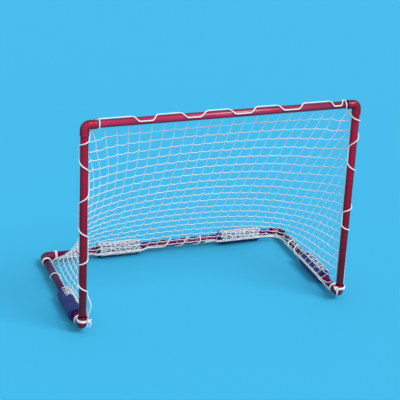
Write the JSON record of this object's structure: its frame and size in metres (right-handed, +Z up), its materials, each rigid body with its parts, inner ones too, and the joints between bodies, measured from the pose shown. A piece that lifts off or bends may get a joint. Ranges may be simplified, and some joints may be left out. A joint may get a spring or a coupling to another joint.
{
  "type": "floating water polo goal",
  "caption": "Small water polo goal: a tube frame on foam floats, with a square-mesh net laced to the mouth and to the base tubes.",
  "frame": {"origin": "middle of the underside of the bounding box, level with the lowest face of the floats", "axes": "+Z up, +X along the crossbar to the right as seen from in front of the mouth, +Y back from the mouth towards the rear rail"},
  "size_m": [1.2882, 0.7828, 0.9789],
  "materials": {
    "tube": "smooth, glossy, deep raspberry red",
    "elbow": "smooth, glossy, raspberry red",
    "float": "closed-cell foam with a matt skin, dark navy",
    "twine": "white knotted twine",
    "cord": "white braided cord"
  },
  "bodies": {
    "root": {"left_post": "tube", "right_post": "tube", "crossbar": "tube", "left_side_rail": "tube", "right_side_rail": "tube", "rear_rail": "tube", "top_left_elbow": "elbow", "top_right_elbow": "elbow", "front_left_elbow": "elbow", "front_right_elbow": "elbow", "rear_left_elbow": "elbow", "rear_right_elbow": "elbow", "left_float": "float", "right_float": "float", "rear_left_float": "float", "rear_right_float": "float", "border_rope": "cord", "net_left": "twine", "net_left_shoulder": "twine", "net_back": "twine", "net_right_shoulder": "twine", "net_right": "twine", "mouth_lacing": "cord", "left_rail_lacing": "cord", "rear_and_right_rail_lacing": "cord", "left_foot_knot": "cord", "right_foot_knot": "cord"}
  },
  "joints": []
}
